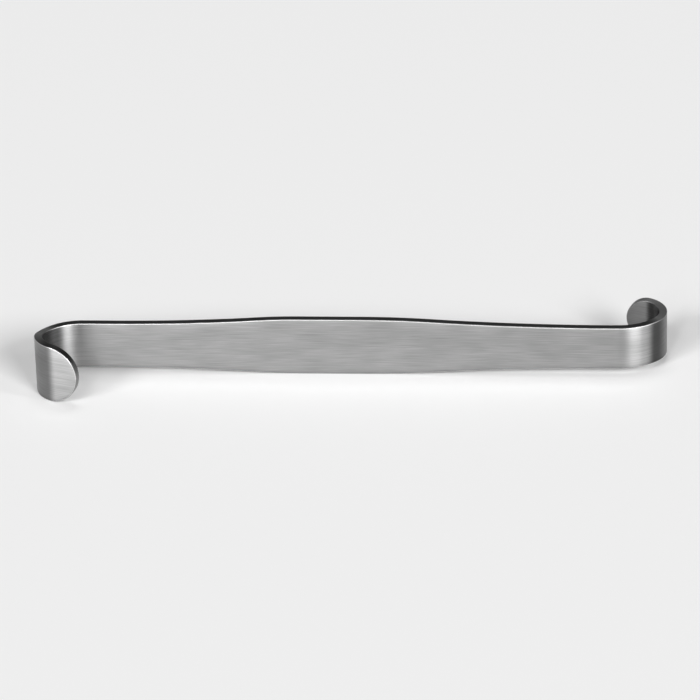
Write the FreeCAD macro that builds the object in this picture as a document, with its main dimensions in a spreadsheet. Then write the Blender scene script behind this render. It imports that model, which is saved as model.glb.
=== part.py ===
"""Handheld surgical retractor: one strip of stainless steel with a curled blade at each end.

The strip stands on its long edge. X runs along it, Z is up, and its flat front faces -Y.
The larger blade is at -X and curls to the front; the smaller one is at +X and curls back.
The origin is at the middle of the short level stretch of the bottom edge, under the grip.
Lengths are in millimetres and angles in degrees.
"""
import FreeCAD
import Part
import math
import os
import Sketcher

# Driving dimensions, each set here only.
# The strip has its full height at the grip and at the larger blade, so it stands level on both.
# The handle is the straight strip from bend to bend. Its grip is level in the middle, curves
# down over a shoulder, then hollow to its foot, and a level neck leads into the bend.
# Each end bends twice, gently and then tightly. A bend's radius is to the middle of the metal.
SIZES = {
    "strip_thickness": 2.4,
    "full_height": 18.6,
    "edge_rounding": 0.25,
    "handle_length": 161.6,
    "grip_offset": 6.5,
    "grip_level_length": 20.0,
    "bend_root_length": 1.0,
    "left_shoulder_length": 11.0,
    "left_neck_length": 11.5,
    "left_neck_height": 15.0,
    "left_first_bend_radius": 13.7,
    "left_first_bend_angle": 45.0,
    "left_second_bend_radius": 9.0,
    "left_second_bend_angle": 117.0,
    "left_widening_share": 0.7,
    "left_blade_flat_length": 6.75,
    "right_shoulder_length": 21.0,
    "right_neck_length": 1.5,
    "right_blade_height": 13.8,
    "right_first_bend_radius": 16.0,
    "right_first_bend_angle": 45.0,
    "right_second_bend_radius": 8.0,
    "right_second_bend_angle": 115.0,
    "right_blade_flat_length": 5.85,
}

# Sizes that follow from the driving ones, as formulas of the sheet's cells.
HALF_THICKNESS = "(sizes.strip_thickness / 2)"
ROOT = "(sizes.strip_thickness / 2 + sizes.bend_root_length)"
FULL_EDGE = "(sizes.full_height / 2)"
BLANK_HEIGHT = "(sizes.full_height + sizes.right_blade_height)"
PAST_BLANK = f"({BLANK_HEIGHT} / 2 + sizes.strip_thickness)"

# The points of an edge in a sketch, which counts the edge itself as 0.
_, START, END, CENTRE = range(4)

# A sketch's own axes count as edges too, and its origin is the level one's start.
LEVEL_AXIS, UPRIGHT_AXIS = -1, -2
ORIGIN = (LEVEL_AXIS, START)

QUARTER_TURN = math.pi / 2


def make_sheet(doc):
    """Put the driving dimensions in a sheet, one named cell each."""
    sheet = doc.addObject("Spreadsheet::Sheet", "sizes")
    for row, (name, value) in enumerate(SIZES.items(), start=1):
        sheet.set(f"A{row}", name)
        sheet.set(f"B{row}", str(value))
        sheet.setAlias(f"B{row}", name)
    doc.recompute()
    return sheet


def make_sketch(body, name, role):
    """Start a sketch on one of the body's own origin planes."""
    sketch = body.newObject("Sketcher::SketchObject", name)
    plane = next(f for f in body.Origin.OriginFeatures if f.Role == role)
    sketch.AttachmentSupport = (plane, [""])
    sketch.MapMode = "FlatFace"
    return sketch


def amount(sketch, formula):
    """What a formula of the sheet's cells comes to, as a plain number."""
    result = sketch.evalExpression(formula)
    return float(getattr(result, "Value", result))


def size(sketch, kind, where, formula):
    """Add a sized constraint that follows a formula."""
    value = amount(sketch, formula)
    if kind == "Angle":
        value = math.radians(value)
        formula = f"{formula} * 1 deg"
    index = sketch.addConstraint(Sketcher.Constraint(kind, *where, value))
    sketch.setExpression(f"Constraints[{index}]", formula)


def place(sketch, axis, point, side, formula):
    """Hold a point at a distance from the sketch's origin, on the side given by a sign."""
    where = (*ORIGIN, *point) if side > 0 else (*point, *ORIGIN)
    size(sketch, f"Distance{axis}", where, formula)


def join(sketch, kind, first, second):
    """Join the ends of two edges: Coincident, Tangent or Perpendicular."""
    sketch.addConstraint(Sketcher.Constraint(kind, *first, *second))


def add_line(sketch, first, second):
    return sketch.addGeometry(Part.LineSegment(FreeCAD.Vector(*first), FreeCAD.Vector(*second)))


def add_arc(sketch, centre, radius, start_angle, end_angle):
    """Add a counter-clockwise arc, with its angles in radians."""
    circle = Part.Circle(FreeCAD.Vector(*centre), FreeCAD.Vector(0, 0, 1), radius)
    return sketch.addGeometry(Part.ArcOfCircle(circle, start_angle, end_angle))


def add_path(sketch, corners):
    """Add level and upright lines through the corners, joined end to end."""
    lines = []
    for first, second in zip(corners, corners[1:]):
        line = add_line(sketch, first, second)
        level = math.isclose(first[1], second[1])
        sketch.addConstraint(Sketcher.Constraint("Horizontal" if level else "Vertical", line))
        if lines:
            join(sketch, "Coincident", (lines[-1], END), (line, START))
        lines.append(line)
    return lines


def add_bow(sketch, foot, other):
    """Add an arc that is level at its foot and ends at another point.

    Returns its two ends, the foot's first.
    """
    run, rise = other[0] - foot[0], other[1] - foot[1]
    radius = (run * run + rise * rise) / (2 * abs(rise))
    centre = (foot[0], foot[1] + math.copysign(radius, rise))
    foot_angle = math.copysign(QUARTER_TURN, -rise)
    swept = 2 * math.atan2(abs(rise), abs(run))
    if (rise > 0) == (run > 0):
        arc = add_arc(sketch, centre, radius, foot_angle, foot_angle + swept)
        return (arc, START), (arc, END)
    arc = add_arc(sketch, centre, radius, foot_angle - swept, foot_angle)
    return (arc, END), (arc, START)


def add_ogee(sketch, first, crossing, second):
    """Add two bows that turn into each other where x is the crossing, level at both ends.

    Returns the first end, the point where the bows meet and the second end.
    """
    share = (crossing - first[0]) / (second[0] - first[0])
    meeting = (crossing, first[1] + share * (second[1] - first[1]))
    first_end, first_meets = add_bow(sketch, first, meeting)
    second_end, second_meets = add_bow(sketch, second, meeting)
    join(sketch, "Tangent", first_meets, second_meets)
    return first_end, first_meets, second_end


class Curl:
    """The curled end on one side, from above: it leaves the handle and curls round to its blade.

    The right one runs out along +X and curls towards +Y. The left one is turned half round.
    """

    def __init__(self, side, height):
        self.sign = 1 if side == "right" else -1
        cell = f"sizes.{side}_"
        further = "+" if side == "right" else "-"
        self.straight = f"(sizes.handle_length / 2 {further} sizes.grip_offset)"
        self.shoulder = f"(sizes.grip_level_length / 2 + {cell}shoulder_length)"
        self.neck = f"({self.straight} - {cell}neck_length)"
        self.height = height
        self.first_radius = cell + "first_bend_radius"
        self.second_radius = cell + "second_bend_radius"
        self.first_turn = cell + "first_bend_angle"
        self.second_turn = cell + "second_bend_angle"
        self.whole_turn = f"({self.first_turn} + {self.second_turn})"
        self.flat = cell + "blade_flat_length"
        # More than the curl can stand out past the straight, lengthways or sideways.
        self.reach = (f"({self.first_radius} * 2 + {self.second_radius} * 2"
                      f" + {self.flat} + sizes.strip_thickness)")

    def depth_at(self, turn):
        """How far the middle of the metal stands out sideways once it has turned that far."""
        return (f"({self.first_radius} * (1 - cos({self.first_turn}))"
                f" + {self.second_radius} * (cos({self.first_turn}) - cos({turn})))")

    def tip_centre(self):
        """Where the centre of the round tip lies, lengthways and sideways."""
        past_bend = f"({self.flat} - {self.height} / 2)"
        lengthways = (f"({self.straight} + {self.first_radius} * sin({self.first_turn})"
                      f" + {self.second_radius} * (sin({self.whole_turn}) - sin({self.first_turn}))"
                      f" + {past_bend} * cos({self.whole_turn}))")
        sideways = f"({self.depth_at(self.whole_turn)} + {past_bend} * sin({self.whole_turn}))"
        return lengthways, sideways

    def draw(self, sketch, outer_start, inner_start):
        """Draw both faces and the square end, from the ends of the handle's two lines.

        Returns the first arc of the inner face.
        """
        names = (self.straight, self.first_radius, self.second_radius, self.flat, HALF_THICKNESS)
        straight, radius_1, radius_2, flat, half = (amount(sketch, name) for name in names)
        start = -QUARTER_TURN * self.sign
        middle = start + math.radians(amount(sketch, self.first_turn))
        stop = middle + math.radians(amount(sketch, self.second_turn))
        shift = radius_1 - radius_2
        centre_1 = (self.sign * straight, self.sign * radius_1)
        centre_2 = (centre_1[0] + shift * math.cos(middle), centre_1[1] + shift * math.sin(middle))
        out = (math.cos(stop), math.sin(stop))
        faces, tips = [], []
        for offset, handle in ((half, outer_start), (-half, inner_start)):
            arc_1 = add_arc(sketch, centre_1, radius_1 + offset, start, middle)
            arc_2 = add_arc(sketch, centre_2, radius_2 + offset, middle, stop)
            root = (centre_2[0] + (radius_2 + offset) * out[0], centre_2[1] + (radius_2 + offset) * out[1])
            tip = (root[0] - flat * out[1], root[1] + flat * out[0])
            blade = add_line(sketch, root, tip)
            join(sketch, "Tangent", handle, (arc_1, START))
            join(sketch, "Tangent", (arc_1, END), (arc_2, START))
            join(sketch, "Tangent", (arc_2, END), (blade, START))
            faces.append((arc_1, arc_2, blade))
            tips.append(tip)
        (outer_1, outer_2, outer_blade), (inner_1, inner_2, inner_blade) = faces
        square_end = add_line(sketch, *tips)
        join(sketch, "Perpendicular", (outer_blade, END), (square_end, START))
        join(sketch, "Perpendicular", (inner_blade, END), (square_end, END))
        join(sketch, "Coincident", (outer_1, CENTRE), (inner_1, CENTRE))
        join(sketch, "Coincident", (outer_2, CENTRE), (inner_2, CENTRE))
        size(sketch, "Radius", (outer_1,), f"{self.first_radius} + {HALF_THICKNESS}")
        size(sketch, "Radius", (outer_2,), f"{self.second_radius} + {HALF_THICKNESS}")
        size(sketch, "Angle", (outer_1,), self.first_turn)
        size(sketch, "Angle", (outer_2,), self.second_turn)
        size(sketch, "Distance", (outer_blade,), self.flat)
        return inner_1


def draw_strip(sketch, left, right):
    """Draw the bent strip from above: handle, both curls and their square ends."""
    half, x_left, x_right = (amount(sketch, f) for f in (HALF_THICKNESS, left.straight, right.straight))
    front = add_line(sketch, (-x_left, -half), (x_right, -half))
    back = add_line(sketch, (x_right, half), (-x_left, half))
    for line in (front, back):
        sketch.addConstraint(Sketcher.Constraint("Horizontal", line))
    left.draw(sketch, (back, END), (front, START))
    inner_right = right.draw(sketch, (front, END), (back, START))
    # The right curl's inner radius sets the thickness; the left one's follows from it.
    size(sketch, "Radius", (inner_right,), f"{right.first_radius} - {HALF_THICKNESS}")
    place(sketch, "Y", (front, START), -1, HALF_THICKNESS)
    place(sketch, "X", (front, START), -1, left.straight)
    place(sketch, "X", (front, END), 1, right.straight)


def draw_outline_cut(sketch, side, left, right):
    """Draw what is cut off above or below the handle, as seen from the front.

    The edge is level along the grip, falls in an ogee to each neck and is level again beyond.
    """
    level_end = "sizes.grip_level_length / 2"
    far_left = f"{left.straight} + {left.reach}"
    far_right = f"{right.straight} + {right.reach}"
    left_edge, right_edge = "sizes.left_neck_height / 2", f"{right.height} / 2"
    z_grip, z_left, z_right, z_lid = (
        side * amount(sketch, f) for f in (FULL_EDGE, left_edge, right_edge, PAST_BLANK))
    x_level, x_far_left, x_far_right = (amount(sketch, f) for f in (level_end, far_left, far_right))
    left_neck, right_neck = (amount(sketch, curl.neck) for curl in (left, right))
    left_shoulder, right_shoulder = (amount(sketch, curl.shoulder) for curl in (left, right))

    level = add_path(sketch, [(-x_level, z_grip), (x_level, z_grip)])[0]
    path = add_path(sketch, [(right_neck, z_right), (x_far_right, z_right), (x_far_right, z_lid),
                             (-x_far_left, z_lid), (-x_far_left, z_left), (-left_neck, z_left)])
    right_top, right_meeting, right_foot = add_ogee(
        sketch, (x_level, z_grip), right_shoulder, (right_neck, z_right))
    left_top, left_meeting, left_foot = add_ogee(
        sketch, (-x_level, z_grip), -left_shoulder, (-left_neck, z_left))
    join(sketch, "Tangent", (level, END), right_top)
    join(sketch, "Tangent", (level, START), left_top)
    join(sketch, "Tangent", (path[0], START), right_foot)
    join(sketch, "Tangent", (path[-1], END), left_foot)

    place(sketch, "Y", (level, START), side, FULL_EDGE)
    place(sketch, "X", (level, START), -1, level_end)
    place(sketch, "X", (level, END), 1, level_end)
    place(sketch, "X", left_meeting, -1, left.shoulder)
    place(sketch, "X", right_meeting, 1, right.shoulder)
    place(sketch, "X", left_foot, -1, left.neck)
    place(sketch, "X", right_foot, 1, right.neck)
    place(sketch, "Y", left_foot, side, left_edge)
    place(sketch, "Y", right_foot, side, right_edge)
    place(sketch, "X", (path[0], END), 1, far_right)
    place(sketch, "X", (path[-1], START), -1, far_left)
    place(sketch, "Y", (path[2], START), side, PAST_BLANK)


def draw_widening_cut(sketch, side, left):
    """Draw what is cut off above or below the left curl, as seen from the end.

    The strip widens in an ogee from its neck's height to its blade's as it curls away.
    """
    neck = "sizes.left_neck_height / 2"
    full = left.depth_at(f"({left.first_turn} + {left.second_turn} * sizes.left_widening_share)")
    half_way = f"({ROOT} + {full}) / 2"
    y_root, y_half, y_full, y_far = (-amount(sketch, f) for f in (ROOT, half_way, full, left.reach))
    z_neck, z_blade, z_lid = (side * amount(sketch, f) for f in (neck, FULL_EDGE, PAST_BLANK))

    root, meeting, top = add_ogee(sketch, (y_root, z_neck), y_half, (y_full, z_blade))
    path = add_path(sketch, [(y_full, z_blade), (y_far, z_blade), (y_far, z_lid),
                             (y_root, z_lid), (y_root, z_neck)])
    join(sketch, "Tangent", (path[0], START), top)
    join(sketch, "Perpendicular", (path[-1], END), root)

    place(sketch, "X", root, -1, ROOT)
    place(sketch, "X", meeting, -1, half_way)
    place(sketch, "X", top, -1, full)
    place(sketch, "Y", root, side, neck)
    place(sketch, "Y", top, side, FULL_EDGE)
    place(sketch, "X", (path[0], END), -1, left.reach)
    place(sketch, "Y", (path[2], START), side, PAST_BLANK)


def draw_right_cut(sketch, side, right):
    """Draw what is cut off above or below the right curl, which keeps its neck's height."""
    height = f"{right.height} / 2"
    y_root, y_far = (amount(sketch, f) for f in (ROOT, right.reach))
    z_edge, z_lid = (side * amount(sketch, f) for f in (height, PAST_BLANK))
    path = add_path(sketch, [(y_root, z_edge), (y_far, z_edge), (y_far, z_lid),
                             (y_root, z_lid), (y_root, z_edge)])
    join(sketch, "Coincident", (path[-1], END), (path[0], START))
    place(sketch, "X", (path[0], START), 1, ROOT)
    place(sketch, "Y", (path[0], START), side, height)
    place(sketch, "X", (path[0], END), 1, right.reach)
    place(sketch, "Y", (path[2], START), side, PAST_BLANK)


def draw_tip_cut(sketch, curl):
    """Draw what is cut off round a blade's tip, square to the blade.

    The sketch's origin is the tip's centre, and the tip points to the curl's side of it.
    """
    radius = f"{curl.height} / 2"
    past_tip = f"{radius} + sizes.strip_thickness"
    r, x_far, z_lid = (amount(sketch, f) for f in (radius, past_tip, PAST_BLANK))
    start = -QUARTER_TURN * curl.sign
    arc = add_arc(sketch, (0, 0), r, start, start + 2 * QUARTER_TURN)
    top, bottom = (END, START) if curl.sign > 0 else (START, END)
    path = add_path(sketch, [(0, r), (0, z_lid), (curl.sign * x_far, z_lid),
                             (curl.sign * x_far, -z_lid), (0, -z_lid), (0, -r)])
    join(sketch, "Coincident", (arc, CENTRE), ORIGIN)
    join(sketch, "Coincident", (arc, top), (path[0], START))
    join(sketch, "Coincident", (arc, bottom), (path[-1], END))
    for point in (START, END):
        sketch.addConstraint(Sketcher.Constraint("PointOnObject", arc, point, UPRIGHT_AXIS))
    size(sketch, "Radius", (arc,), radius)
    place(sketch, "X", (path[1], END), curl.sign, past_tip)
    place(sketch, "Y", (path[1], END), 1, PAST_BLANK)
    place(sketch, "Y", (path[3], START), -1, PAST_BLANK)


def add_pocket(body, sketch, name, both_ways="", reversed_side=False):
    """Cut a sketch out of the body, and make sure that it did cut.

    It cuts right through, or by the given length shared out to both sides of the sketch.
    """
    before = body.Tip.Shape.Volume
    pocket = body.newObject("PartDesign::Pocket", name)
    pocket.Profile = sketch
    if both_ways:
        pocket.SideType = "Symmetric"
        pocket.setExpression("Length", both_ways)
    else:
        pocket.Type = "ThroughAll"
        pocket.Reversed = reversed_side
    body.Document.recompute()
    if pocket.Shape.isNull() or not pocket.Shape.Volume < before:
        raise RuntimeError(f"{name} cuts nothing")
    return pocket


def cut_tip(body, curl, name):
    """Round a blade's tip, with a sketch laid along the blade at the tip's centre."""
    sketch = make_sketch(body, f"{name}_sketch", "XZ_Plane")
    sketch.AttachmentOffset = FreeCAD.Placement(FreeCAD.Vector(), FreeCAD.Rotation(FreeCAD.Vector(0, 1, 0), 1))
    lengthways, sideways = curl.tip_centre()
    sign = "" if curl.sign > 0 else "-"
    away = "-" if curl.sign > 0 else ""
    sketch.setExpression("AttachmentOffset.Rotation.Angle", f"{curl.whole_turn} * 1 deg")
    sketch.setExpression("AttachmentOffset.Base.x", sign + lengthways)
    sketch.setExpression("AttachmentOffset.Base.z", away + sideways)
    draw_tip_cut(sketch, curl)
    return add_pocket(body, sketch, name, both_ways=f"{curl.second_radius} * 2")


def sharp_edges(shape):
    """Names of the edges whose two faces meet more squarely than smoothly."""
    names = []
    for number, edge in enumerate(shape.Edges, start=1):
        faces = shape.ancestorsOfType(edge, Part.Face)
        point = edge.valueAt((edge.FirstParameter + edge.LastParameter) / 2)
        normals = [face.normalAt(*face.Surface.parameter(point)) for face in faces]
        if len(normals) == 2 and normals[0].getAngle(normals[1]) > QUARTER_TURN / 2:
            names.append(f"Edge{number}")
    return names


def make_retractor(doc):
    """The whole instrument: a bent strip, trimmed to its outline, with its edges rounded."""
    left = Curl("left", "sizes.full_height")
    right = Curl("right", "sizes.right_blade_height")
    body = doc.addObject("PartDesign::Body", "retractor")
    body.Label = "retractor"

    from_above = make_sketch(body, "strip_from_above", "XY_Plane")
    draw_strip(from_above, left, right)
    strip = body.newObject("PartDesign::Pad", "bent_strip")
    strip.Profile = from_above
    strip.SideType = "Symmetric"
    strip.setExpression("Length", BLANK_HEIGHT)
    doc.recompute()

    outline = make_sketch(body, "handle_outline", "XZ_Plane")
    widening = make_sketch(body, "left_widening", "YZ_Plane")
    right_edge = make_sketch(body, "right_edge", "YZ_Plane")
    for side in (1, -1):
        draw_outline_cut(outline, side, left, right)
        draw_widening_cut(widening, side, left)
        draw_right_cut(right_edge, side, right)
    add_pocket(body, outline, "trim_handle", both_ways=f"{ROOT} * 2")
    add_pocket(body, widening, "trim_left_curl")
    add_pocket(body, right_edge, "trim_right_curl", reversed_side=True)
    cut_tip(body, left, "round_left_tip")
    trimmed = cut_tip(body, right, "round_right_tip")

    rounding = body.newObject("PartDesign::Fillet", "round_edges")
    rounding.Base = (trimmed, sharp_edges(trimmed.Shape))
    rounding.setExpression("Radius", "sizes.edge_rounding")
    doc.recompute()

    # The sketches lie at mid-height, so the finished strip is lifted to stand on its edge.
    body.setExpression("Placement.Base.z", FULL_EDGE)
    doc.recompute()
    return body


def check(doc, parts):
    """Stop if an object failed, or if a part has no sound solid."""
    failed = [f.Name for f in doc.Objects if {"Invalid", "Error"} & set(f.State)]
    if failed:
        raise RuntimeError(f"these objects failed: {failed}")
    for part in parts:
        shape = part.Shape
        if shape.isNull() or not shape.isValid() or len(shape.Solids) != 1:
            raise RuntimeError(f"{part.Label} has no sound solid")


def main():
    doc = FreeCAD.newDocument("retractor")
    make_sheet(doc)
    parts = [make_retractor(doc)]
    check(doc, parts)
    os.makedirs("parts", exist_ok=True)
    for part in parts:
        part.Shape.exportStep(f"parts/{part.Label}.step")
        box = part.Shape.BoundBox
        print(f"{part.Label}: {part.Shape.Volume:.1f} mm3, x {box.XMin:.2f} to {box.XMax:.2f},"
              f" y {box.YMin:.2f} to {box.YMax:.2f}, z {box.ZMin:.2f} to {box.ZMax:.2f}")


main()
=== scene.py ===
"""Looks for the handheld retractor: one bent strip of satin steel on a pale floor."""
import bpy
import math
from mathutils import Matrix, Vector


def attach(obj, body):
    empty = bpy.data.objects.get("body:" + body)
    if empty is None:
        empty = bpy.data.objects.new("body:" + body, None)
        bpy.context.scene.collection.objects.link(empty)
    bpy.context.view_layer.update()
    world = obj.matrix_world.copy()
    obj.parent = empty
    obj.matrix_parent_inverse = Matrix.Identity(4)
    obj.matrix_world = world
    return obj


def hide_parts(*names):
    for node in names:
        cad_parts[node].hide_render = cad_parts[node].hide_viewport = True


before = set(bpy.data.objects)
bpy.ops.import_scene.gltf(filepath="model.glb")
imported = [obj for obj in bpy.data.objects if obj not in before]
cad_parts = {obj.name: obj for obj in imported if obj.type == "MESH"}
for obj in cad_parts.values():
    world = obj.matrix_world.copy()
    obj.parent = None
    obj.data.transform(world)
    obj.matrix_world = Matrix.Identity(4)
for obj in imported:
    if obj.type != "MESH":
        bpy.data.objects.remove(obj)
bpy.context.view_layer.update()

MM = 0.001

# Spacing of the mesh's rows of points: along the straight, round the bends and, at least, before a tip.
STEP = 1.5 * MM
TURN_STEP = math.radians(2.0)
SHORTEST_STEP = 0.2 * MM

# How many rows each round tip has, and how many steps go round a corner of the edge.
TIP_ROWS = 36
ROUND_STEPS = 6

# The strip as the source gives it, in metres and radians.
THICKNESS = 2.4 * MM
ROUNDING = 0.25 * MM
FULL = 9.3 * MM
LEVEL = 10.0 * MM
LEFT_MEETING, LEFT_NECK, LEFT_STRAIGHT = 21.0 * MM, 62.8 * MM, 74.3 * MM
RIGHT_MEETING, RIGHT_NECK, RIGHT_STRAIGHT = 31.0 * MM, 85.8 * MM, 87.3 * MM
LEFT_NECK_HALF, RIGHT_HALF = 7.5 * MM, 6.9 * MM
BEND_ROOT = 1.0 * MM
WIDENING_SHARE = 0.7

# How much duller, with painted shade, the inside of each curl gets, and how strong the painted dark
# outside the left one is.
DULLEST_AND_SHADED = {-1: 1.0, 1: 0.9}
LEFT_PAINTED_SHADE = 0.5

# Stretches of a curl's turning, in degrees, over which dullness or painted shade comes in or goes out
# again.
EDGE_DULLS_AND_SHADES, LEFT_EDGE_CLEARS = (30, 55), (100, 150)
INSIDE_DULLS_AND_SHADES = (20, 37)
LEFT_SHADE_COMES, LEFT_SHADE_GOES = (20, 130), (145, 157)
RIGHT_SHADE_COMES, RIGHT_SHADE_GOES = (29, 40), (100, 130)
RIGHT_SHADE_EASES, RIGHT_SHADE_EASING = (42, 80), 0.6
NEVER = (180, 190)

# How fast the painted dark reflection on the edge fades round its corners; under the lower edge it
# fades slowly, as painted shade.
UPPER_FADE, LOWER_FADE = 2, 0.5

# Which of the strip's two materials a face has.
FACE, EDGE = 0, 1

# Polishing leaves the faces crowned by this much from the middle to their edges.
CROWN = math.radians(4.0)

LAMP_DISTANCE = 24.0


def ogee(x, first, meeting, second):
    """Height at x of two bows, level at both ends, that meet where x is the meeting."""
    (x1, z1), (x2, z2) = first, second
    if x <= x1:
        return z1
    if x >= x2:
        return z2
    middle = z1 + (meeting - x1) / (x2 - x1) * (z2 - z1)
    foot_x, foot_z = (x1, z1) if x < meeting else (x2, z2)
    run, rise = abs(meeting - foot_x), middle - foot_z
    radius = (run * run + rise * rise) / (2 * abs(rise))
    fall = radius - math.sqrt(radius * radius - (x - foot_x) ** 2)
    return foot_z + math.copysign(fall, rise)


def smooth(low, high, value):
    share = min(max((value - low) / (high - low), 0.0), 1.0)
    return share * share * (3 - 2 * share)


def between(rise, fall, turn):
    """1 between two stretches of turning, given in degrees, that rise to it and fall from it."""
    return smooth(*map(math.radians, rise), turn) * (1 - smooth(*map(math.radians, fall), turn))


class Curl:
    """One curled end, as it runs from the end of the straight to its tip."""

    def __init__(self, sign, straight, radii, turns, flat, half):
        self.sign, self.straight, self.flat, self.half = sign, straight, flat, half
        self.radii = [radius * MM for radius in radii]
        self.turns = [math.radians(turn) for turn in turns]
        self.first_arc = self.radii[0] * self.turns[0]
        self.bend = self.first_arc + self.radii[1] * self.turns[1]
        self.length = self.bend + flat

    def turned(self, along):
        """How far the strip has turned, that far past the straight."""
        if along <= self.first_arc:
            return max(along, 0.0) / self.radii[0]
        rest = min(along, self.bend) - self.first_arc
        return self.turns[0] + rest / self.radii[1]

    def place(self, along, offset):
        """Plan place of a point that far past the straight, offset to the inside of the curl."""
        r1, r2 = self.radii
        turn = self.turned(along)
        x, y = self.straight, 0.0
        if along <= 0:
            x += along
        elif along <= self.first_arc:
            x += r1 * math.sin(turn)
            y += r1 * (1 - math.cos(turn))
        else:
            first = self.turns[0]
            x += r1 * math.sin(first) + r2 * (math.sin(turn) - math.sin(first))
            y += r1 * (1 - math.cos(first)) + r2 * (math.cos(first) - math.cos(turn))
        if along > self.bend:
            x += (along - self.bend) * math.cos(turn)
            y += (along - self.bend) * math.sin(turn)
        x -= offset * math.sin(turn)
        y += offset * math.cos(turn)
        return self.sign * x, self.sign * y

    def tip_half(self, along, offset):
        """Half height that the round tip leaves there."""
        if along > self.bend:
            run = along - self.bend
        else:
            left = sum(self.turns) - self.turned(along)
            run = -(self.radii[1] - offset) * math.sin(min(left, math.pi / 2))
        run -= self.flat - self.half
        if run <= 0:
            return self.half
        return math.sqrt(max(self.half ** 2 - run ** 2, 0.0))

    def stations(self):
        """Distances past the straight at which the strip gets a row of points."""
        count = max(round(sum(self.turns) / TURN_STEP), 2)
        rows = []
        for number in range(1, count + 1):
            turn = sum(self.turns) * number / count
            if turn <= self.turns[0]:
                rows.append(turn * self.radii[0])
            else:
                rows.append(self.first_arc + (turn - self.turns[0]) * self.radii[1])
        tip_start = self.length - self.half
        rows = [row for row in rows if row < tip_start - SHORTEST_STEP]
        for number in range(TIP_ROWS + 1):
            rows.append(tip_start + self.half * math.sin(math.pi / 2 * number / TIP_ROWS))
        return rows


left = Curl(-1, LEFT_STRAIGHT, (13.7, 9.0), (45.0, 117.0), 6.75 * MM, FULL)
right = Curl(1, RIGHT_STRAIGHT, (16.0, 8.0), (45.0, 115.0), 5.85 * MM, RIGHT_HALF)

CENTRE_DEPTHS = (BEND_ROOT + THICKNESS / 2, abs(left.place(
    left.first_arc + left.radii[1] * left.turns[1] * WIDENING_SHARE, 0.0)[1]))


def half_height(curl, along, offset):
    """Half the strip's height at a point past the straight, or on it where along is negative."""
    if along <= 0:
        neck, meeting = (LEFT_NECK, LEFT_MEETING) if curl is left else (RIGHT_NECK, RIGHT_MEETING)
        foot = LEFT_NECK_HALF if curl is left else RIGHT_HALF
        return ogee(curl.straight + along, (LEVEL, FULL), meeting, (neck, foot))
    if curl is right:
        return right.tip_half(along, offset)
    root, full = CENTRE_DEPTHS
    depth = abs(left.place(along, offset)[1])
    widening = ogee(depth, (root, LEFT_NECK_HALF), (root + full) / 2, (full, FULL))
    return min(widening, left.tip_half(along, offset))


def edge_profile():
    """Round the edge from one face to the other: depth in from the outline, offset and tilt."""
    half = THICKNESS / 2
    rows = []
    for number in range(ROUND_STEPS + 1):
        tilt = math.pi / 2 * number / ROUND_STEPS
        rows.append((ROUNDING * (1 - math.sin(tilt)), half - ROUNDING * (1 - math.cos(tilt)), tilt))
    return rows + [(depth, -offset, math.pi - tilt) for depth, offset, tilt in reversed(rows)]


def outline_stations():
    """Every row of points from the left tip to the right one, as curl and distance past it."""
    rows = [(left, along) for along in reversed(left.stations())]
    whole = left.straight + right.straight
    count = round(whole / STEP)
    for number in range(count + 1):
        x = -left.straight + whole * number / count
        rows.append((left, -left.straight - x) if x < 0 else (right, x - right.straight))
    return rows + [(right, along) for along in right.stations()]


def inward(curl, along):
    """Which way is inwards from the upper outline in the flat strip, lengthways and up."""
    height = half_height(curl, along, 0.0)
    if along > 0 and height < curl.half and curl.tip_half(along, 0.0) == height:
        return -math.sqrt(1 - (height / curl.half) ** 2), -height / curl.half
    small = 0.02 * MM
    climb = half_height(curl, along + small, 0.0) - half_height(curl, along - small, 0.0)
    rise = climb / (2 * small)
    return rise / math.hypot(rise, 1), -1 / math.hypot(rise, 1)


def finish_and_shade_at(curl, offset, depth, turn, side):
    """How much duller and how much painted darker the steel is there, and how near the strip's upper or
    lower edge.

    The inside of a curl is hard to reach with the brush, so it is duller and rougher there, and so is
    its edge;
    its darkening there is painted shade in the hollow of the curl. The flat of the edge is painted dark
    as a painted reflection, the corners of the lower edge carry painted shade, and the outside of each
    bend a painted dark reflection.
    """
    if depth < ROUNDING:
        dull_and_shade = between(EDGE_DULLS_AND_SHADES, LEFT_EDGE_CLEARS if curl is left else NEVER, turn)
        # On the edge the flat is painted dark as a painted reflection, fading round the corners; round
        # the lower edge it fades slowly, as painted shade.
        return dull_and_shade, (1 - depth / ROUNDING) ** (LOWER_FADE if side < 0 else UPPER_FADE), side
    # Inside a curl the steel is duller and rougher, and painted darker as painted shade in the hollow.
    if curl.sign * offset > 0:
        return DULLEST_AND_SHADED[curl.sign] * between(INSIDE_DULLS_AND_SHADES, NEVER, turn), 0.0, side
    # Outside the left curl: a painted dark reflection, clearing towards its blade.
    if curl is left:
        return 0.0, LEFT_PAINTED_SHADE * between(LEFT_SHADE_COMES, LEFT_SHADE_GOES, turn), side
    # Outside the right curl: a painted dark reflection, easing off and clearing towards its tip.
    kept_shade = 1 - RIGHT_SHADE_EASING * between(RIGHT_SHADE_EASES, NEVER, turn)
    return 0.0, between(RIGHT_SHADE_COMES, RIGHT_SHADE_GOES, turn) * kept_shade, side


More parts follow.
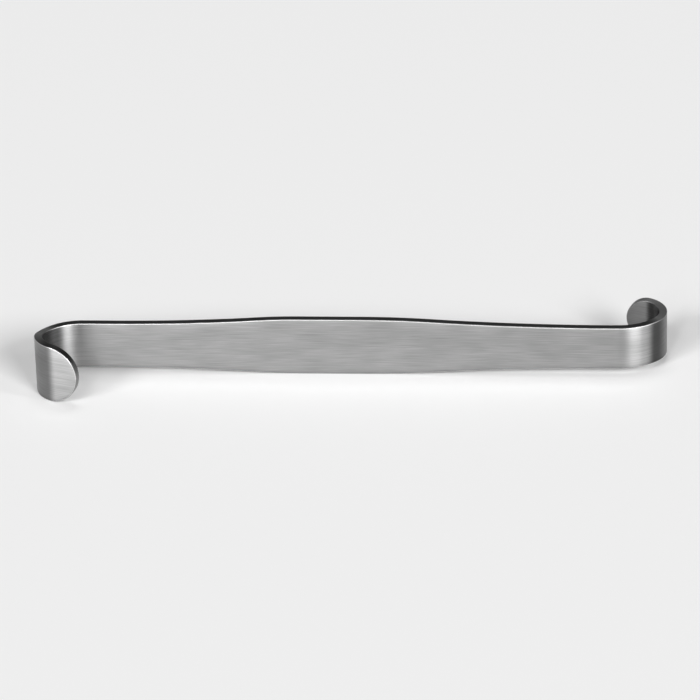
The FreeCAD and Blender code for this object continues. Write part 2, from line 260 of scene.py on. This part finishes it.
def edge_column(curl, along, side):
    """Points, normals, flat places, dullness and painted shade round the edge at one row, from back to
    front.

    The side is 1 for the upper edge, -1 for the lower one and 0 at a tip, where they meet.
    """
    inward_along, inward_up = inward(curl, along)
    points, normals, flat_places, finish_and_shade = [], [], [], []
    for depth, offset, tilt in edge_profile():
        tilt = CROWN + tilt * (1 - 2 * CROWN / math.pi)
        here = along + depth * inward_along
        turn = curl.turned(here)
        x, y = curl.place(here, curl.sign * offset)
        z = side * (half_height(curl, along, curl.sign * offset) + depth * inward_up)
        out_along = -math.sin(tilt) * inward_along * curl.sign
        out_back = math.cos(tilt)
        points.append((x, y, z + FULL))
        normals.append((out_along * math.cos(turn) - out_back * math.sin(turn),
                        out_along * math.sin(turn) + out_back * math.cos(turn),
                        -side * math.sin(tilt) * inward_up))
        flat_places.append((curl.sign * (curl.straight + here), z))
        finish_and_shade.append(finish_and_shade_at(curl, offset, depth, turn, side))
    return points, normals, flat_places, finish_and_shade


def make_strip():
    """The whole strip as one closed mesh, with its length and height kept as UVs in metres."""
    vertices, normals, flat_places, finish_and_shade = kept = [], [], [], []
    upper, lower = [], []

    def add_column(curl, along, side):
        first = len(vertices)
        for values, new in zip(kept, edge_column(curl, along, side)):
            values.extend(new)
        return list(range(first, len(vertices)))

    nearly = 1e-9
    for curl, along in outline_stations():
        if along >= curl.length - nearly:
            upper.append(add_column(curl, along, 0))
            lower.append(upper[-1])
        else:
            upper.append(add_column(curl, along, 1))
            lower.append(add_column(curl, along, -1))

    faces, places, kinds = [], [], []

    def add_face(corners, corner_places, kind):
        """Add a face, leaving out a corner that a tip has twice."""
        chosen = [n for n, corner in enumerate(corners) if corner not in corners[:n]]
        faces.append([corners[n] for n in chosen])
        places.extend(corner_places[n] for n in chosen)
        kinds.append(kind)

    rounds = [0.0]
    for (_, _, first), (_, _, second) in zip(edge_profile(), edge_profile()[1:]):
        rounds.append(rounds[-1] + (ROUNDING * (second - first) or THICKNESS - 2 * ROUNDING))
    run = 0.0
    for (up_1, up_2), (low_1, low_2) in zip(zip(upper, upper[1:]), zip(lower, lower[1:])):
        middle = len(up_1) // 2
        step = (Vector(vertices[up_2[middle]]) - Vector(vertices[up_1[middle]])).length
        for a, b in zip(range(len(up_1)), range(1, len(up_1))):
            near, far = (run, rounds[a]), (run, rounds[b])
            near_2, far_2 = (run + step, rounds[a]), (run + step, rounds[b])
            add_face((up_1[a], up_1[b], up_2[b], up_2[a]), (near, far, far_2, near_2), EDGE)
            add_face((low_1[a], low_2[a], low_2[b], low_1[b]), (near, near_2, far_2, far), EDGE)
        run += step
        back = (up_1[0], up_2[0], low_2[0], low_1[0])
        front = (up_1[-1], low_1[-1], low_2[-1], up_2[-1])
        for corners in (back, front):
            add_face(corners, [flat_places[corner] for corner in corners], FACE)

    mesh = bpy.data.meshes.new("steel_strip")
    mesh.from_pydata(vertices, [], faces)
    flat_uvs = mesh.uv_layers.new(name="flat_strip").uv
    flat_uvs.foreach_set("vector", [value for place in places for value in place])
    finish_and_shade_data = mesh.attributes.new("finish_and_shade", "FLOAT_VECTOR", "POINT").data
    finish_and_shade_data.foreach_set("vector", [value for values in finish_and_shade for value in values])
    mesh.polygons.foreach_set("material_index", kinds)
    mesh.shade_smooth()
    mesh.normals_split_custom_set_from_vertices([Vector(normal).normalized() for normal in normals])
    strip = bpy.data.objects.new("steel_strip", mesh)
    bpy.context.scene.collection.objects.link(strip)
    return strip


def new_material(name):
    material = bpy.data.materials.new(name)
    material.use_nodes = True
    tree = material.node_tree
    return material, tree, tree.nodes["Principled BSDF"]


def add_node(tree, kind, inputs=(), **settings):
    """Add a node, set its settings, and link or set its inputs."""
    node = tree.nodes.new(kind)
    for name, value in settings.items():
        setattr(node, name, value)
    for socket, value in dict(inputs).items():
        if isinstance(value, bpy.types.NodeSocket):
            tree.links.new(value, node.inputs[socket])
        else:
            node.inputs[socket].default_value = value
    return node


def maths(tree, kind, *values):
    return add_node(tree, "ShaderNodeMath", enumerate(values), operation=kind).outputs[0]


def stretched_noise(tree, along, across, detail):
    """Noise whose grain is that long and that wide on the strip, in metres."""
    place = add_node(tree, "ShaderNodeUVMap", uv_map="flat_strip").outputs[0]
    scaled = add_node(tree, "ShaderNodeVectorMath", {0: place, 1: (1 / along, 1 / across, 1)},
                      operation="MULTIPLY")
    noise = add_node(tree, "ShaderNodeTexNoise", {"Vector": scaled.outputs[0], "Scale": 1.0,
                                                  "Detail": detail})
    return noise.outputs[0]


def shift(tree, value, amount, base):
    """The base, more or less by a share of what the noise differs from its middle."""
    return maths(tree, "MULTIPLY_ADD", value, amount, base - amount / 2)


def grey(tree, value):
    return add_node(tree, "ShaderNodeCombineColor", {0: value, 1: value, 2: value}).outputs[0]


def blend_value(tree, share, first, second):
    """The first value where the share is 0, and the second one where it is 1."""
    mix = add_node(tree, "ShaderNodeMix", {0: share, 2: first, 3: second}, data_type="FLOAT")
    return mix.outputs[0]


def strip_finish_and_shade(tree):
    """Dullness with painted shade, painted darkness and place between the lower and upper edge, as the
    mesh has them.
    """
    finish_and_shade = add_node(tree, "ShaderNodeAttribute", attribute_name="finish_and_shade").outputs["Vector"]
    return add_node(tree, "ShaderNodeSeparateXYZ", {0: finish_and_shade}).outputs


def brushed_steel_and_painted_light():
    """Steel brushed along the strip: its gloss spreads across the brush marks, not along them."""
    material, tree, shader = new_material("brushed_steel_and_painted_light")
    dull_and_shade, dark, height = strip_finish_and_shade(tree)
    marks = stretched_noise(tree, 10 * MM, 0.22 * MM, 3.0)
    strokes = stretched_noise(tree, 250 * MM, 0.5 * MM, 3.0)
    clouds = stretched_noise(tree, 14 * MM, 5 * MM, 1.0)
    # Painted highlight: how near the upper edge, for painting the faces lighter towards it.
    top_highlight = maths(tree, "POWER", maths(tree, "MAXIMUM", height, 0.0), 4.0)
    # Painted shade: how near the lower edge, for painting a thin dark line along it.
    below = maths(tree, "MAXIMUM", maths(tree, "MULTIPLY", height, -1.0), 0.0)
    foot = maths(tree, "POWER", below, 20.0)

    tone = shift(tree, marks, 0.36, 0.435)
    for factor in (shift(tree, strokes, 0.17, 1.0),
                   shift(tree, clouds, 0.36, 1.0),
                   # painted shade in the hollow of each curl, where the steel is also rougher
                   blend_value(tree, dull_and_shade, 1.0, 0.28),
                   # painted dark reflection on the outside of the bends
                   blend_value(tree, dark, 1.0, 0.21),
                   # painted highlight towards the upper edge of the faces
                   blend_value(tree, top_highlight, 1.0, 1.22),
                   # painted shade along the lower edge of the faces
                   blend_value(tree, foot, 1.0, 0.6)):
        tone = maths(tree, "MULTIPLY", tone, factor)
    tree.links.new(grey(tree, tone), shader.inputs["Base Color"])
    roughness = shift(tree, strokes, 0.06, 0.38)
    tree.links.new(blend_value(tree, dull_and_shade, roughness, 0.50), shader.inputs["Roughness"])
    shader.inputs["Anisotropic"].default_value = 0.9
    bump = add_node(tree, "ShaderNodeBump", {"Strength": 0.35, "Distance": 0.01 * MM,
                                             "Height": marks})
    tree.links.new(bump.outputs[0], shader.inputs["Normal"])
    turn_gloss_across(tree, shader)
    return material


def polished_edge_and_painted_light():
    """The rounded edge, rubbed smoother than the faces, with fine marks along it, a painted highlight
    and painted shade.
    """
    material, tree, shader = new_material("polished_edge_and_painted_light")
    dull_and_shade, dark, _ = strip_finish_and_shade(tree)
    marks = stretched_noise(tree, 14 * MM, 0.4 * MM, 2.0)
    # Painted highlight: the rounded corners are painted near white, dimmed where the curls are duller.
    corner = blend_value(tree, dull_and_shade, 1.0, 0.34)
    # Painted dark reflection: the flat of the edge is painted dark, less so inside the curls.
    flat = blend_value(tree, dull_and_shade, 0.20, 0.38)
    edge_tone_and_light = blend_value(tree, dark, corner, flat)
    tone = maths(tree, "MULTIPLY", shift(tree, marks, 0.06, 0.95), edge_tone_and_light)
    tree.links.new(grey(tree, tone), shader.inputs["Base Color"])
    roughness = blend_value(tree, dark, 0.48, shift(tree, marks, 0.03, 0.29))
    tree.links.new(blend_value(tree, dull_and_shade, roughness, 0.52), shader.inputs["Roughness"])
    shader.inputs["Anisotropic"].default_value = 0.3
    turn_gloss_across(tree, shader)
    return material


def turn_gloss_across(tree, shader):
    """Make it metal whose gloss spreads across the strip's length."""
    shader.inputs["Metallic"].default_value = 1.0
    shader.inputs["Anisotropic Rotation"].default_value = 0.25
    tangent = add_node(tree, "ShaderNodeTangent", direction_type="UV_MAP", uv_map="flat_strip")
    tree.links.new(tangent.outputs["Tangent"], shader.inputs["Tangent"])


def floor_material():
    material, tree, shader = new_material("pale_floor")
    shader.inputs["Base Color"].default_value = (0.865, 0.865, 0.865, 1)
    shader.inputs["Roughness"].default_value = 0.9
    shader.inputs["Specular IOR Level"].default_value = 0.1
    return material


def add_floor():
    half = 3.0
    mesh = bpy.data.meshes.new("floor")
    corners = [(-half, -half, 0), (half, -half, 0), (half, half, 0), (-half, half, 0)]
    mesh.from_pydata(corners, [], [(0, 1, 2, 3)])
    floor = bpy.data.objects.new("floor", mesh)
    bpy.context.scene.collection.objects.link(floor)
    mesh.materials.append(floor_material())


def add_softbox(name, azimuth, elevation, size, radiance):
    """A far, soft, oblong lamp that faces the strip. Azimuth 0 is in front, 90 at its right end."""
    around, up = math.radians(azimuth), math.radians(elevation)
    away = Vector((math.sin(around) * math.cos(up), -math.cos(around) * math.cos(up), math.sin(up)))
    lamp = bpy.data.lights.new(name, "AREA")
    lamp.shape = "RECTANGLE"
    lamp.size, lamp.size_y = size
    lamp.energy = radiance * math.pi * size[0] * size[1]
    box = bpy.data.objects.new(name, lamp)
    box.location = away * LAMP_DISTANCE
    box.rotation_euler = away.to_track_quat("Z", "Y").to_euler()
    bpy.context.scene.collection.objects.link(box)


def add_world(level):
    world = bpy.data.worlds.new("studio")
    world.use_nodes = True
    background = world.node_tree.nodes["Background"]
    background.inputs["Color"].default_value = (1, 1, 1, 1)
    background.inputs["Strength"].default_value = level
    bpy.context.scene.world = world


def add_camera():
    """The photograph's view: from the front, well above, through a long lens."""
    elevation, azimuth, roll = (math.radians(angle) for angle in (28.788, 4.31, -1.719))
    distance, pixels, shift_x, shift_y = 1.5, 4961.4, -21.69, -4.82
    frame_pixels, sensor = 700, 36.0
    away = Vector((math.sin(azimuth) * math.cos(elevation), -math.cos(azimuth) * math.cos(elevation),
                   math.sin(elevation)))
    right_hand = Vector((math.cos(azimuth), math.sin(azimuth), 0))
    upright = away.cross(right_hand)
    across = right_hand * math.cos(roll) + upright * math.sin(roll)
    up = upright * math.cos(roll) - right_hand * math.sin(roll)
    data = bpy.data.cameras.new("camera")
    data.sensor_width = sensor
    data.lens = pixels / frame_pixels * sensor
    data.shift_x, data.shift_y = -shift_x / frame_pixels, shift_y / frame_pixels
    data.clip_start, data.clip_end = 0.1, 20
    camera = bpy.data.objects.new("camera", data)
    turn = camera.matrix_world.to_3x3()
    for row in range(3):
        turn[row] = (across[row], up[row], away[row])
    camera.rotation_euler = turn.to_euler()
    camera.location = away * distance + Vector((0, 0, FULL))
    bpy.context.scene.collection.objects.link(camera)
    bpy.context.scene.camera = camera


strip = make_strip()
strip.data.materials.append(brushed_steel_and_painted_light())
strip.data.materials.append(polished_edge_and_painted_light())
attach(strip, "root")
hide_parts("retractor")

add_floor()
add_softbox("left_softbox", -41, 28, (8.2, 6.6), 16.8)
add_softbox("left_strip", -13.5, 28, (2.0, 6.6), 18.0)
add_softbox("right_softbox", 35, 28, (9.0, 6.6), 21.5)
add_softbox("right_strip", 70, 28, (1.6, 6.6), 25.0)
add_softbox("front_softbox", -18, 48, (6.4, 4.8), 8.5)
add_softbox("back_softbox", 180, 72, (10.0, 6.0), 5.0)
add_world(0.05)
add_camera()
bpy.context.scene.view_settings.view_transform = "Standard"
